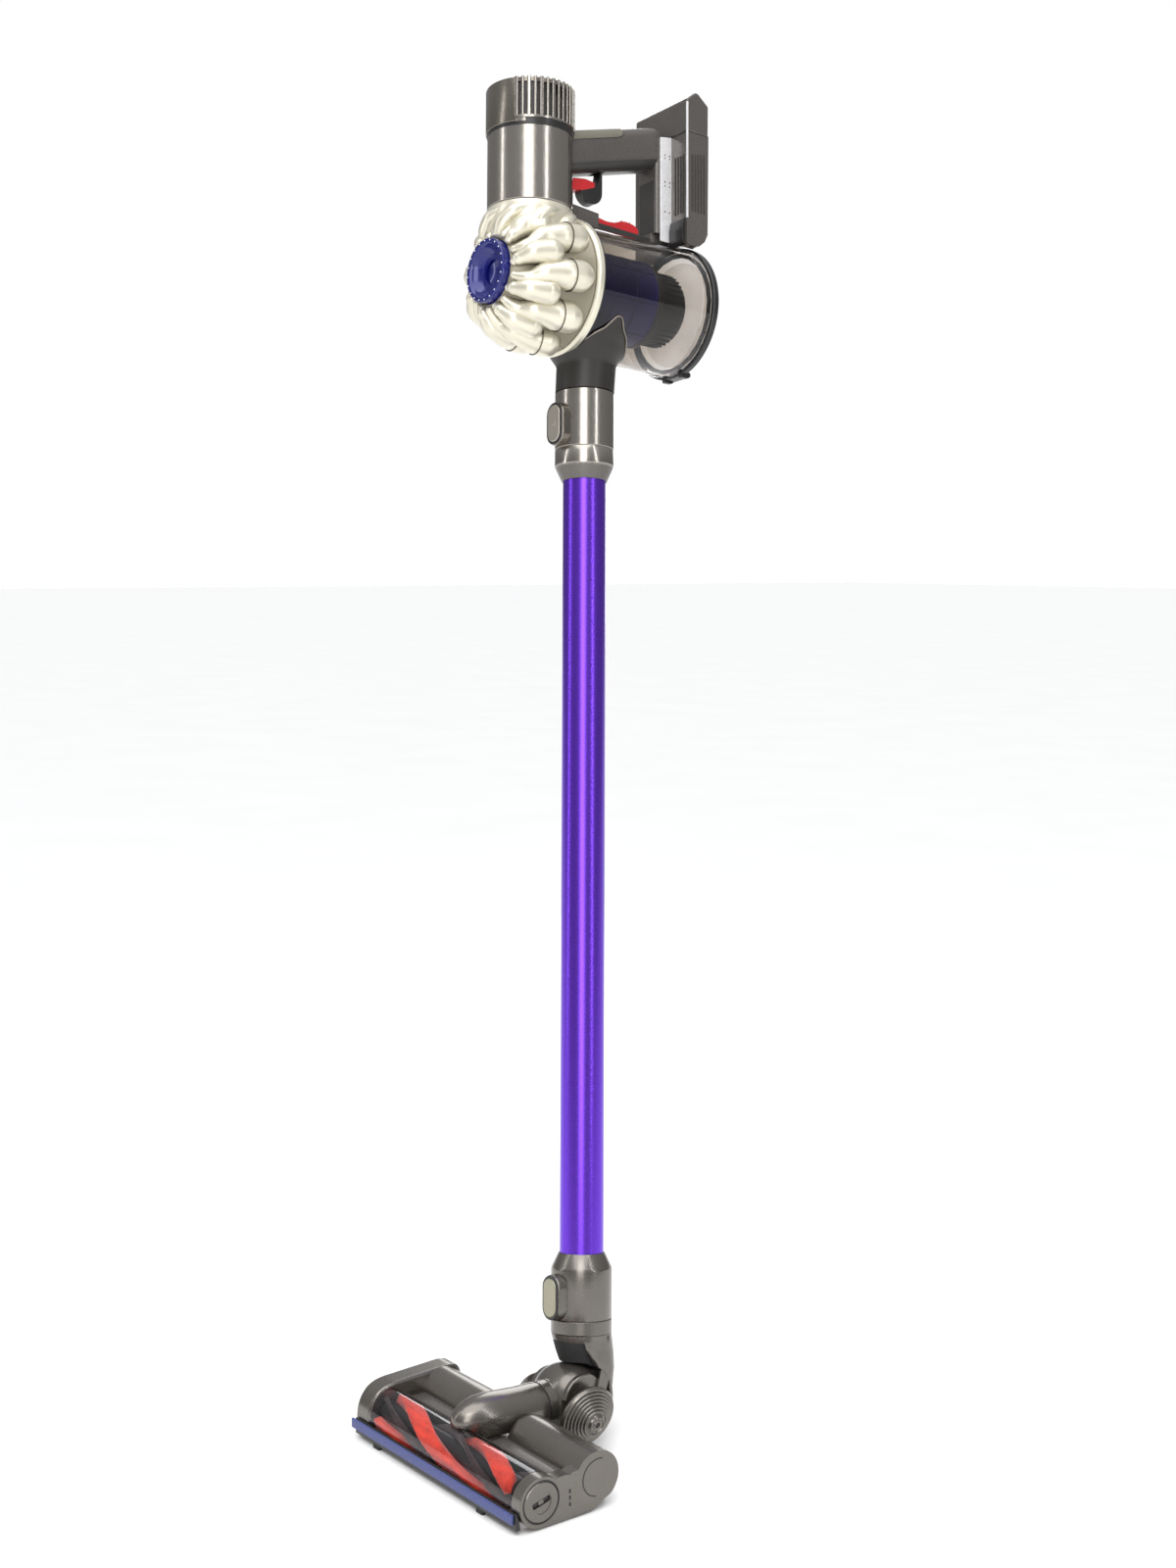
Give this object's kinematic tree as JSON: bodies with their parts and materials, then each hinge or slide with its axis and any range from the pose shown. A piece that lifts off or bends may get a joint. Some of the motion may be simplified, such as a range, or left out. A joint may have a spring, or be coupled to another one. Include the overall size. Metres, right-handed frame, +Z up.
{
  "type": "cordless stick vacuum cleaner",
  "caption": "Cordless stick vacuum: hand-held cyclone unit with clear bin and battery on a purple wand, with a pivoting motorised brush head on wheels.",
  "frame": {"origin": "centre of the bounding box on the floor", "axes": "+Z up, -Y towards the front of the floor head, +X its right-hand side; the wand leans a little back and to the left"},
  "size_m": [0.3392, 0.4128, 1.2142],
  "materials": {
    "housing": "warm dark metallic grey moulding",
    "nickel": "satin nickel-look shell",
    "pearl": "pearl champagne",
    "purple_tube": "purple anodised",
    "blue": "deep blue",
    "red": "red",
    "black": "black",
    "steel": "plain steel",
    "silver_strip": "bright silver strip",
    "clear": "smoky clear polycarbonate",
    "felt": "blue woven felt",
    "bristle_red": "red nylon pile",
    "bristle_black": "black carbon fibre filaments",
    "foam": "pleated filter media",
    "cell": "cell sleeve",
    "rubber": "black rubber"
  },
  "bodies": {
    "main": {"inlet_collar": "nickel", "inlet_duct": "black", "motor_housing": "nickel", "motor_end_cap": "nickel", "motor_stator": "steel", "cyclone_pack": "pearl", "cyclone_rim": "pearl", "bin": "clear", "shroud": "blue", "dust_cone": "black", "bin_rim": "black", "door_hinge_pin": "steel", "handle_frame": "housing", "grip_inlay": "housing", "side_plate": "silver_strip", "latch_rail": "housing", "battery_case": "housing", "battery_top": "housing", "cell_pack": "cell", "battery_screw_1": "steel", "battery_screw_2": "steel", "charge_socket": "black"},
    "rotor": {"motor_rotor": "steel"},
    "max_switch": {"max_button": "blue"},
    "trigger": {"trigger_lever": "red", "trigger_pad": "black"},
    "slider": {"bin_release_slider": "red"},
    "door": {"bin_door": "clear", "bin_door_seal": "rubber"},
    "filter": {"filter_cap": "blue", "filter_core": "foam"},
    "upper_button": {"upper_release_button": "nickel"},
    "wand": {"wand_tube": "purple_tube", "wand_conduit": "black", "wand_lower_cuff": "housing", "wand_upper_cuff": "nickel"},
    "lower_button": {"lower_release_button": "nickel"},
    "neck": {"neck_collar": "housing", "neck_frame": "housing", "neck_hose": "rubber"},
    "elbow": {"elbow_housing": "housing"},
    "wheel_l": {"wheel_left": "housing"},
    "wheel_r": {"wheel_right": "housing"},
    "head": {"snout": "housing", "head_base": "housing", "belt_housing": "housing", "end_plate": "housing", "brush_window": "clear", "rear_bar": "housing", "front_bumper": "black", "felt_strip": "felt", "brush_motor": "steel", "drive_belt": "rubber"},
    "end_cap": {"brush_end_cap": "housing"},
    "brush": {"brush_core": "black", "red_bristle_1": "bristle_red", "carbon_bristle_1": "bristle_black", "red_bristle_2": "bristle_red", "carbon_bristle_2": "bristle_black"},
    "drive": {"motor_pulley": "steel"}
  },
  "joints": [
    {"name": "rotor_spin", "type": "hinge", "parent": "main", "child": "rotor", "pos_m": [-0.1192, 0.01691, 1.12793], "axis": [-0.1477, 0.1137, 0.9825], "continuous": true},
    {"name": "max_press", "type": "slide", "parent": "main", "child": "max_switch", "axis": [0.1477, -0.1137, -0.9825], "range_m": [0, 0.002], "stiffness_N_per_m": 600},
    {"name": "trigger_squeeze", "type": "hinge", "parent": "main", "child": "trigger", "pos_m": [-0.11788, 0.05947, 1.11912], "axis": [0.9889, 0, 0.1487], "range_deg": [0, 6], "stiffness_Nm_per_rad": 1.2, "springref_deg": -2.86},
    {"name": "bin_slide", "type": "slide", "parent": "main", "child": "slider", "axis": [0.0169, 0.9935, -0.1125], "range_m": [0, 0.01], "stiffness_N_per_m": 300, "springref_m": -0.003},
    {"name": "bin_door_hinge", "type": "hinge", "parent": "main", "child": "door", "pos_m": [-0.09216, 0.17293, 0.94802], "axis": [-0.9889, 0, -0.1487], "range_deg": [0, 100]},
    {"name": "filter_pull", "type": "slide", "parent": "main", "child": "filter", "axis": [-0.0169, -0.9935, 0.1125], "range_m": [0, 0.135]},
    {"name": "upper_press", "type": "slide", "parent": "main", "child": "upper_button", "axis": [0.0169, 0.9935, -0.1125], "range_m": [0, 0.0025], "stiffness_N_per_m": 600},
    {"name": "wand_pull", "type": "slide", "parent": "main", "child": "wand", "axis": [0.1477, -0.1137, -0.9825], "range_m": [0, 0.04]},
    {"name": "lower_press", "type": "slide", "parent": "wand", "child": "lower_button", "axis": [0.0169, 0.9935, -0.1125], "range_m": [0, 0.0025], "stiffness_N_per_m": 600},
    {"name": "head_pull", "type": "slide", "parent": "wand", "child": "neck", "axis": [0.1477, -0.1137, -0.9825], "range_m": [0, 0.03]},
    {"name": "neck_pitch", "type": "hinge", "parent": "neck", "child": "elbow", "pos_m": [0.04421, -0.06039, 0.041], "axis": [0.9889, 0, 0.1487], "range_deg": [-12, 66]},
    {"name": "wheel_left_spin", "type": "hinge", "parent": "elbow", "child": "wheel_l", "pos_m": [0.01624, -0.06439, 0.02658], "axis": [-0.8784, 0, -0.4779], "continuous": true},
    {"name": "wheel_right_spin", "type": "hinge", "parent": "elbow", "child": "wheel_r", "pos_m": [0.07518, -0.06439, 0.03544], "axis": [0.9801, 0, -0.1985], "continuous": true},
    {"name": "neck_roll", "type": "hinge", "parent": "elbow", "child": "head", "pos_m": [0.04421, -0.09039, 0.041], "axis": [0, 1, 0], "range_deg": [-98, 81]},
    {"name": "end_cap_turn", "type": "hinge", "parent": "head", "child": "end_cap", "pos_m": [0.16621, -0.18139, 0.0235], "axis": [1, 0, 0], "range_deg": [0, 90]},
    {"name": "brush_spin", "type": "hinge", "parent": "head", "child": "brush", "pos_m": [0.04421, -0.18139, 0.0235], "axis": [1, 0, 0], "continuous": true},
    {"name": "drive_spin", "type": "hinge", "parent": "head", "child": "drive", "pos_m": [-0.06579, -0.12439, 0.029], "axis": [1, 0, 0], "continuous": true}
  ],
  "couplings": [
    {"joint": "drive_spin", "follows": "brush_spin", "ratio": 2}
  ]
}
